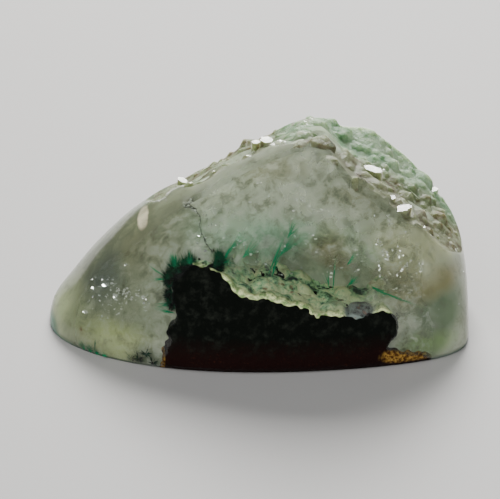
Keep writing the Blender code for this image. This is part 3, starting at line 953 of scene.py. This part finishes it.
class Finish:
    """A material and the one way to add a node to it. Its lengths are millimetres."""

    def __init__(self, name):
        self.material = bpy.data.materials.new(name)
        self.material.use_nodes = True
        self.nodes = self.material.node_tree.nodes
        self.links = self.material.node_tree.links
        self.shader = self.nodes["Principled BSDF"]
        self.output = self.nodes["Material Output"]
        at = self.add("ShaderNodeTexCoord", {}, {}, "Object")
        self.place = self.vector("SCALE", at, Scale=1 / MM)
        self.uneven = self.noise(1.4, 4.0)

    def put(self, target, value):
        if isinstance(value, Value):
            self.links.new(value.socket, target)
        elif target.type == "RGBA":
            target.default_value = (*value[:3], 1)
        else:
            target.default_value = value

    def add(self, kind, settings, inputs, output=0):
        node = self.nodes.new(kind)
        for key, value in settings.items():
            if key == "stops":
                ramp = node.color_ramp
                while len(ramp.elements) < len(value):
                    ramp.elements.new(0.5)
                for element, (place, colour) in zip(ramp.elements, value):
                    element.position = place
                    element.color = (*colour, 1)
            else:
                setattr(node, key, value)
        for key, value in inputs.items():
            self.put(node.inputs[key], value)
        return Value(self, node.outputs[output])

    def vector(self, operation, first, *others, Scale=None):
        inputs = {0: first, **dict(enumerate(others, 1))}
        if Scale is not None:
            inputs["Scale"] = Scale
        output = "Value" if operation in ("LENGTH", "DOT_PRODUCT") else "Vector"
        return self.add("ShaderNodeVectorMath", {"operation": operation}, inputs, output)

    def axis(self, name):
        return self.add("ShaderNodeSeparateXYZ", {}, {0: self.place}, name)

    def stretched(self, shares):
        """The place with each axis multiplied by a share, which draws patterns out along small ones."""
        return self.vector("MULTIPLY", self.place, shares)

    def noise(self, size, detail=4.0, rough=0.55, warp=0.0, place=None):
        """Clouds whose lumps are about size millimetres across."""
        inputs = {"Vector": place or self.place, "Scale": 1 / size, "Detail": detail,
                  "Roughness": rough, "Distortion": warp}
        return self.add("ShaderNodeTexNoise", {}, inputs)

    def cells(self, size, feature="F1", place=None):
        """Distance from the middle, or the edge, of cells of that size."""
        inputs = {"Vector": place or self.place, "Scale": 1 / size}
        return self.add("ShaderNodeTexVoronoi", {"feature": feature}, inputs, "Distance")

    def ramp(self, value, stops):
        return self.add("ShaderNodeValToRGB", {"stops": stops}, {0: value})

    def step(self, value, low, high):
        """0 at low, 1 at high, and even between."""
        return self.add("ShaderNodeMapRange", {}, {"Value": value, "From Min": low, "From Max": high})

    def blob(self, middle, radii, soft=0.5, ragged=0.5):
        """1 within a round patch and 0 outside, with a soft and ragged edge."""
        away = self.vector("MULTIPLY", self.vector("SUBTRACT", self.place, middle), [1 / r for r in radii])
        distance = self.vector("LENGTH", away) + self.uneven * ragged
        edge = 1 + ragged / 2
        return self.step(distance, edge + soft / 2, edge - soft / 2)

    def painted(self, colour, patches):
        """The colour with soft patches laid over it, each with its middle, radii, softness, share and colour."""
        for middle, radii, soft, share, shade in patches:
            colour = self.mix(self.blob(middle, radii, soft) * share, colour, shade)
        return colour

    def mix(self, share, first, second):
        return self.add("ShaderNodeMix", {"data_type": "RGBA"}, {"Factor": share, 6: first, 7: second}, 2)

    def bump(self, height, depth, strength=1.0):
        return self.add("ShaderNodeBump", {}, {"Height": height, "Distance": depth * MM, "Strength": strength})

    def set(self, inputs, shader=None):
        for key, value in inputs.items():
            self.put((shader or self.shader).inputs[key], value)

    def blend(self, share, other):
        """Shows the main shader by a share, over another one."""
        mixer = self.nodes.new("ShaderNodeMixShader")
        self.put(mixer.inputs[0], share)
        self.links.new(other.outputs[0], mixer.inputs[1])
        self.links.new(self.shader.outputs[0], mixer.inputs[2])
        self.links.new(mixer.outputs[0], self.output.inputs["Surface"])

    def absorb(self, colour, density):
        volume = self.nodes.new("ShaderNodeVolumeAbsorption")
        self.put(volume.inputs["Color"], colour)
        self.put(volume.inputs["Density"], density)
        self.links.new(volume.outputs[0], self.output.inputs["Volume"])


def dress(item, finish):
    item.data.materials.clear()
    item.data.materials.append(finish.material)


# %% [markdown]
# ## Chalcedony
# The stone is milky in some places and clear in others. Two shaders are mixed: a clear one that refracts, and
# a milky one that scatters the light under its surface. Clouds say which one shows where: the front over the
# rind is clear enough to see the rind, and the upper part is milky. A plain absorption makes thick parts greener.

# %% Chalcedony finish
WINDOW = ((3.0, -8.0, 6.4), (7.6, 6.0, 3.5))  # middle and radii of the clear part in front of the rind
RIND_WINDOW = ((3.0, -8.0, 6.0), (7.6, 6.0, 3.0))  # the hole there in the veils
CLEAR_SPOTS = [  # clear parts of the surface: in front of the rind, the tufts and the rock's ends
    WINDOW, ((-5.6, -7.5, 6.6), (2.8, 4.0, 2.8)), ((-7.6, -8.6, 2.0), (1.6, 3.0, 3.6)),
    ((11.4, -7.6, 1.6), (2.4, 3.0, 1.8)), ((-2.9, -8.0, 7.9), (1.8, 3.0, 1.7)),
]
# Clouds of the stone's own colour, and three painted glows where light from behind shines through the thin low
# ends.
PATCHES_AND_GLOW = [  # middle, radii, softness, share, colour
    ((-9.6, -2.0, 7.8), (2.4, 6.0, 1.7), 0.9, 0.7, (0.26, 0.27, 0.15)),
    ((-12.0, -3.5, 5.7), (1.7, 5.0, 1.9), 0.9, 0.85, (0.11, 0.14, 0.12)),
    ((-6.5, -4.0, 9.6), (2.6, 6.0, 1.5), 0.9, 0.7, (0.28, 0.31, 0.19)),
    # painted glow: light from behind shining through the left tip and the lower left
    ((-14.4, -3.0, 2.3), (2.0, 4.0, 1.8), 0.9, 0.7, (0.40, 0.46, 0.25)),
    ((-10.6, -7.0, 1.5), (2.8, 3.5, 1.2), 0.9, 0.8, (0.60, 0.68, 0.31)),
    ((-8.2, -8.3, 0.8), (1.3, 2.0, 0.9), 0.9, 0.6, (0.05, 0.08, 0.05)),
    ((-15.8, -1.5, 0.2), (0.7, 2.5, 0.9), 0.6, 0.8, (0.02, 0.16, 0.09)),
    ((-13.3, -5.4, 1.5), (0.2, 0.6, 0.32), 0.3, 0.9, (0.20, 0.05, 0.02)),
    ((13.4, -6.6, 3.6), (2.2, 3.5, 1.9), 0.9, 0.9, (0.12, 0.19, 0.09)),
    # painted glow: light from behind shining through the lower right end
    ((12.4, -7.6, 1.4), (2.2, 3.0, 0.9), 0.9, 0.75, (0.22, 0.38, 0.10)),
    ((13.4, -6.0, 6.0), (2.0, 3.0, 0.9), 0.9, 0.6, (0.30, 0.25, 0.08)),
    ((11.2, -7.6, 5.4), (2.2, 3.0, 0.9), 0.9, 0.5, (0.44, 0.40, 0.18)),
    ((1.4, -5.5, 9.3), (5.8, 6.0, 1.7), 0.9, 0.65, (0.36, 0.62, 0.40)),
    ((5.2, -5.5, 8.8), (1.3, 5.0, 1.9), 0.9, 0.6, (0.42, 0.38, 0.18)),
    ((6.2, -8.2, 7.0), (0.9, 2.0, 0.6), 0.9, 0.6, (0.60, 0.40, 0.16)),
    ((11.0, -6.2, 8.4), (3.4, 4.0, 2.2), 0.9, 0.7, (0.74, 0.76, 0.46)),
    ((2.4, -7.2, 10.0), (2.6, 3.0, 0.8), 0.9, 0.3, (0.10, 0.36, 0.19)),
    ((1.0, -4.0, 8.4), (2.2, 12.0, 1.3), 0.9, 0.55, (0.20, 0.46, 0.28)),
    ((-1.2, -4.0, 7.9), (1.5, 12.0, 1.1), 0.9, 0.6, (0.50, 0.72, 0.44)),
    ((0.4, -4.0, 7.3), (0.6, 12.0, 0.6), 0.8, 0.8, (0.36, 0.20, 0.07)),
    ((2.6, -4.0, 7.9), (0.9, 12.0, 0.8), 0.7, 0.75, (0.07, 0.13, 0.09)),
    ((4.8, -4.0, 8.3), (1.6, 12.0, 1.5), 0.9, 0.75, (0.32, 0.27, 0.11)),
    ((5.9, -4.0, 6.9), (1.3, 12.0, 0.6), 0.9, 0.75, (0.52, 0.33, 0.12)),
    ((7.9, -4.0, 8.3), (1.0, 12.0, 0.9), 0.9, 0.6, (0.46, 0.66, 0.44)),
    ((9.5, -4.0, 6.4), (1.8, 12.0, 0.9), 0.9, 0.6, (0.42, 0.34, 0.14)),
    ((0.0, -2.6, 13.6), (5.0, 1.5, 0.9), 0.9, 0.5, (0.28, 0.27, 0.13)),
    ((8.0, -4.2, 12.3), (3.5, 1.6, 1.3), 0.9, 0.5, (0.28, 0.27, 0.13)),
]
CREAM_OVAL = ((-8.7, -0.5, 8.6), (0.45, 1.8, 0.65), 0.3, 0.9, (0.66, 0.60, 0.42))


def chalcedony_finish():
    finish = Finish("chalcedony")
    natural = finish.add("ShaderNodeAttribute", {"attribute_name": "natural"}, {}, "Fac")
    wide, fine = finish.noise(4.5, 3.0), finish.noise(1.1, 6.0, 0.65, 0.6)
    x, y = finish.axis("X"), finish.axis("Y")

    colour = finish.mix(finish.step(wide, 0.35, 0.65), (0.46, 0.51, 0.37), (0.56, 0.60, 0.46))
    left = finish.step(x, -3.0, -9.0)
    colour = finish.mix(left, colour, (0.26, 0.29, 0.19))
    # the stone's clouds, with painted glow at its thin low ends
    colour = finish.painted(colour, PATCHES_AND_GLOW)
    upper_left = left * finish.step(y, -4.5, -1.5) * finish.step(finish.axis("Z"), 2.0, 4.5)
    smudges = finish.mix(finish.step(fine, 0.4, 0.6), (0.065, 0.075, 0.045), (0.14, 0.16, 0.095))
    colour = finish.mix(upper_left * 0.85, colour, smudges)
    colour = finish.painted(colour, [CREAM_OVAL])
    colour = finish.mix(finish.step(fine, 0.5, 0.3) * 0.5, colour, (0.15, 0.17, 0.10))
    colour = finish.mix(finish.step(y, 0.0, 4.0) * 0.8, colour, finish.mix(
        finish.step(fine, 0.35, 0.6), (0.17, 0.22, 0.14), (0.28, 0.32, 0.23)))
    far = finish.step(y, -2.5, 1.0) * natural
    green = finish.mix(finish.step(0.5 * wide + 0.5 * fine, 0.42, 0.58), (0.09, 0.21, 0.09), (0.27, 0.37, 0.23))
    colour = finish.mix(far * 0.9, colour, green)
    near_ridge = finish.step(y - 0.25 * x, 0.5, -1.5) + finish.step(x, 2.2, 0.4)
    near_ridge = near_ridge.clamped() * natural
    colour = finish.mix(near_ridge * 0.85, colour, (0.15, 0.17, 0.08))
    colour = finish.mix(near_ridge * finish.step(fine, 0.47, 0.6) * 0.85, colour, (0.08, 0.06, 0.02))
    rim = finish.step(finish.axis("Z") + 0.2 * fine, 0.45, 0.2)
    colour = finish.mix(rim * 0.6, colour, (0.05, 0.17, 0.13))
    grains = finish.noise(0.5, 4.0, 0.6) * natural

    milk = finish.step(wide + 0.25 * fine, 0.35, 0.9) * 0.2 + 0.08
    for middle, radii in CLEAR_SPOTS:
        milk = milk * (1 - 0.95 * finish.blob(middle, radii, 0.7))
    ends = finish.step(x, 12.0, 15.0) + finish.step(x, -13.5, -15.5)
    behind = (finish.step(y + 2.5 * left, -1.5, 1.5) + ends).clamped()
    milk = (milk + 0.8 * behind + 0.6 * natural * (1 - behind) + 0.3 * rim).clamped()
    finish.set({"Base Color": colour, "Roughness": 0.12 + 0.45 * natural, "IOR": 1.54,
                "Specular IOR Level": 0.3, "Subsurface Weight": 1.0, "Subsurface Scale": 0.002,
                "Subsurface Radius": (1.0, 1.0, 0.8), "Normal": finish.bump(grains, 0.3)})
    clear = finish.nodes.new("ShaderNodeBsdfPrincipled")
    finish.set({"Base Color": (0.95, 0.97, 0.93), "Roughness": 0.04 + 0.4 * natural, "IOR": 1.54,
                "Transmission Weight": 1.0, "Normal": finish.bump(grains, 0.3)}, clear)
    finish.blend(milk, clear)
    finish.absorb((0.66, 0.78, 0.56), 50.0)
    return finish


dress(body, chalcedony_finish())


# %% [markdown]
# ## Rock, rind and malachite
# The rock is nearly black with grey-green grains above and a red-brown band below, and an orange seam on its
# thin right end. The rind is cream where it touches the rock and pale green over that, with dark hollows and
# specks of rust. Malachite is nearly black where needles crowd, and emerald above a set height, which is partly
# its own colour and partly a painted highlight from the light above.

# %% Veil finish
def veil_finish(name, cover, share_in_window, paleness):
    """A cloud that covers that share of its sheet, and less of it in front of the rind."""
    finish = Finish(name)
    wide = finish.noise(2.6, 5.0, 0.55, 0.3)
    wisps = finish.noise(0.9, 6.0, 0.62, 0.4)
    thick = wide * 0.55 + wisps * 0.45
    edge = 0.62 - 0.3 * cover
    alpha = finish.step(thick, edge - 0.1, edge + 0.15)
    alpha = alpha * (1 - (1 - share_in_window) * finish.blob(*RIND_WINDOW, 0.8, 1.2))
    columns = finish.cells(1.5, "F1", finish.stretched((1.0, 1.0, 0.8)))
    colour = finish.mix(finish.step(wide, 0.35, 0.65), (0.56, 0.63, 0.44), (0.70, 0.76, 0.60))
    colour = finish.mix(finish.step(finish.axis("X"), -4.0, -10.0), colour, (0.31, 0.35, 0.22))
    # the stone's clouds, with painted glow at its thin low ends
    colour = finish.painted(colour, PATCHES_AND_GLOW)
    left = finish.step(finish.axis("X"), -4.0, -9.0)
    colour = finish.mix(finish.step(wisps, 0.5, 0.62) * (0.7 - 0.5 * left), colour, (0.85, 0.90, 0.76))
    colour = finish.mix(finish.step(wisps, 0.49, 0.36) * (0.8 - 0.3 * left), colour, (0.17, 0.20, 0.11))
    colour = finish.mix(finish.step(columns, 0.4, 0.75) * 0.3, colour, (0.28, 0.32, 0.21))
    colour = finish.mix(paleness, colour, (0.80, 0.90, 0.68))
    finish.set({"Base Color": colour, "Roughness": 0.6, "Alpha": alpha})
    return finish


VEIL_LOOKS = [  # cover, its share in front of the rind, paleness
    (1.0, 0.0, 0.0), (0.8, 0.0, 0.25), (1.3, 0.6, 0.4), (2.0, 1.0, 0.4),
]
for item, look in zip(veils, VEIL_LOOKS):
    dress(item, veil_finish(item.name, *look))


# %% Rock finish
def rock_finish():
    finish = Finish("host_rock")
    x, z = finish.axis("X"), finish.axis("Z")
    grain, fine = finish.noise(0.7, 6.0, 0.7), finish.noise(0.22, 3.0, 0.6)
    low = finish.step(z + 1.5 * grain, 3.6, 2.0)
    colour = finish.mix(low, (0.003, 0.004, 0.003), (0.010, 0.0035, 0.003))
    colour = finish.mix(finish.step(grain, 0.5, 0.7) * (1 - low) * 0.5, colour, (0.03, 0.034, 0.026))
    colour = finish.mix(finish.step(fine, 0.6, 0.75) * low * 0.6, colour, (0.045, 0.014, 0.008))
    seam = finish.blob((11.2, -8.4, 0.9), (2.1, 3.0, 0.6), 0.4, 0.9)
    edge = finish.blob((-7.2, -8.6, 1.2), (0.24, 2.0, 1.8), 0.3, 0.3)
    orange = finish.mix(finish.step(fine, 0.42, 0.6), (0.06, 0.022, 0.006), (0.40, 0.23, 0.05))
    colour = finish.mix((seam + 0.7 * edge).clamped(), colour, orange)
    finish.set({"Base Color": colour, "Roughness": finish.step(grain, 0.2, 0.8) * 0.3 + 0.4,
                "Specular IOR Level": 0.08, "Normal": finish.bump(grain + 0.4 * fine, 0.12)})
    return finish


dress(rock, rock_finish())


# %% Rind finish
def rind_finish():
    finish = Finish("chrysocolla")
    patches, fine = finish.noise(1.6, 5.0, 0.62, 0.4), finish.noise(0.35, 4.0, 0.6)
    behind_polish = finish.add("ShaderNodeAttribute", {"attribute_name": "behind"}, {}, "Fac")
    stops = [(0.39, (0.015, 0.035, 0.03)), (0.43, (0.09, 0.22, 0.13)), (0.47, (0.36, 0.66, 0.34)),
             (0.55, (0.88, 0.96, 0.58))]
    colour = finish.ramp(patches * 0.65 + fine * 0.35, stops)
    halo = finish.blob((7.3, -8.2, 5.3), (2.0, 2.4, 1.5), 0.6)
    colour = finish.mix(halo * 0.7, colour, (0.62, 0.74, 0.42))
    cloudy = finish.blob((7.45, -8.4, 4.7), (1.15, 1.6, 1.0), 0.3, 0.3)
    grey = finish.mix(finish.step(patches + 0.5 * fine, 0.68, 0.82), (0.006, 0.010, 0.008), (0.20, 0.25, 0.22))
    colour = finish.mix(cloudy, colour, grey)
    rust = finish.step(finish.noise(0.9, 3.0), 0.62, 0.7)
    colour = finish.mix(rust * 0.8, colour, (0.22, 0.09, 0.03))
    cut = finish.step(behind_polish + 0.5 * fine, 0.65, 0.3) * (1 - cloudy)
    cream = finish.mix(finish.step(fine, 0.40, 0.58), (0.20, 0.33, 0.11), (0.74, 0.80, 0.40))
    colour = finish.mix(cut, colour, cream)
    finish.set({"Base Color": colour, "Roughness": 0.5, "Normal": finish.bump(fine, 0.12)})
    return finish


dress(rind, rind_finish())


# %% Malachite finish
def malachite_finish(name, dark, bright, lit_from):
    """Dark below and bright above a height, with patches of both. The bright top is partly the mineral's emerald
    and partly a painted highlight from the light above.
    """
    finish = Finish(name)
    patches = finish.noise(0.5, 3.0)
    height = finish.axis("Z") + 1.2 * patches
    # painted highlight, partly the mineral's own emerald: brighter above a height
    lit = finish.step(height, lit_from + 0.3, lit_from + 0.9)
    shade = finish.mix((0.8 * finish.step(patches, 0.4, 0.65) + lit).clamped(), dark, bright)
    finish.set({"Base Color": shade, "Roughness": 0.6, "Specular IOR Level": 0.05})
    return finish


packed_green = malachite_finish("malachite_packed", (0.0005, 0.005, 0.002), (0.002, 0.10, 0.04), 7.9)
loose_green = malachite_finish("malachite_loose", (0.004, 0.14, 0.055), (0.012, 0.38, 0.16), 1.2)
for item in [*tufts.values(), smoke]:
    dress(item, packed_green)
dress(loose_needles, loose_green)


# %% Flaw finishes
def flake_finish():
    finish = Finish("flaw_flake")
    shade = finish.mix(finish.step(finish.noise(0.2, 2.0), 0.4, 0.6), (0.80, 0.84, 0.78), (0.92, 0.94, 0.92))
    # The weak emission is a painted glow, standing in for glints whose light the milky top keeps from the flakes.
    finish.set({"Base Color": shade, "Metallic": 0.9, "Roughness": 0.2, "Emission Color": shade,
                "Emission Strength": 0.22})
    return finish


def crack_finish():
    finish = Finish("crack")
    patches = finish.noise(0.35, 4.0)
    shade = finish.mix(finish.step(patches, 0.5, 0.6), (0.01, 0.015, 0.012), (0.85, 0.90, 0.82))
    finish.set({"Base Color": shade, "Roughness": 0.3, "Alpha": finish.step(patches, 0.25, 0.4)})
    return finish


dress(glints, flake_finish())
dress(crack_sheet, crack_finish())

# %% [markdown]
# ## Rides
# Nothing moves, so each piece rides on the one body. The imported solids that pieces stand for are hidden.

# %% Rides
PIECES = [(body, "chalcedony_with_druse", "chalcedony"), (rock, "host_rock", "host_rock"),
          (rind, "chrysocolla_rind", "chrysocolla")]
PIECES += [(item, node, "malachite") for node, item in tufts.items()]
PIECES += [(item, None, "malachite") for item in (smoke, loose_needles)]
PIECES += [(item, None, "chalcedony") for item in (*veils, glints, crack_sheet)]
for item, node, slot in PIECES:
    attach(item, "root")
    if node:
        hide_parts(node)

# %% [markdown]
# ## Floor, light and camera
# The floor is plain and pale. A broad soft light stands behind the stone and above it, as a window does in the
# photograph, so that the thin parts glow, and a weaker one fills the front.

# %% Floor and lights
FLOOR_SIDE = 3.0
let_go()
bpy.ops.mesh.primitive_plane_add(size=FLOOR_SIDE, location=(0, 0, 0))
floor = named("floor")
paper = Finish("floor_paper")
paper.set({"Base Color": (0.37, 0.362, 0.35), "Roughness": 0.6})
dress(floor, paper)


def soft_light(name, place, aim, side, power, colour):
    let_go()
    bpy.ops.object.light_add(type="AREA", location=place)
    lamp = bpy.context.object
    lamp.name = name
    lamp.rotation_euler = (Vector(aim) - Vector(place)).to_track_quat("-Z", "Y").to_euler()
    lamp.data.size = side
    lamp.data.energy = power
    lamp.data.color = colour
    return lamp


MIDDLE = (0, 0, 0.007)
soft_light("window", (0.02, 0.34, 0.26), MIDDLE, 0.22, 4.4, (1.0, 0.99, 0.97))
fill = soft_light("fill", (-0.30, -0.90, 0.90), MIDDLE, 1.6, 26.0, (0.97, 0.98, 1.0))
fill.visible_glossy = False
world = bpy.context.scene.world or bpy.data.worlds.new("studio")
bpy.context.scene.world = world
world.use_nodes = True
world.node_tree.nodes["Background"].inputs["Color"].default_value = (0.85, 0.87, 0.9, 1)
world.node_tree.nodes["Background"].inputs["Strength"].default_value = 0.07

# %% Camera
CAMERA_ELEVATION = math.radians(25)
CAMERA_DISTANCE = 0.28
VIEW_WIDTH = 0.038
AIM = Vector((-0.00065, -0.00012, 0.00584))
bpy.ops.object.camera_add()
camera = bpy.context.object
back = Vector((0, -math.cos(CAMERA_ELEVATION), math.sin(CAMERA_ELEVATION)))
camera.location = AIM + back * CAMERA_DISTANCE
camera.rotation_euler = (-back).to_track_quat("-Z", "Y").to_euler()
camera.data.lens = camera.data.sensor_width * CAMERA_DISTANCE / VIEW_WIDTH
camera.data.clip_start = 0.005
bpy.context.scene.camera = camera
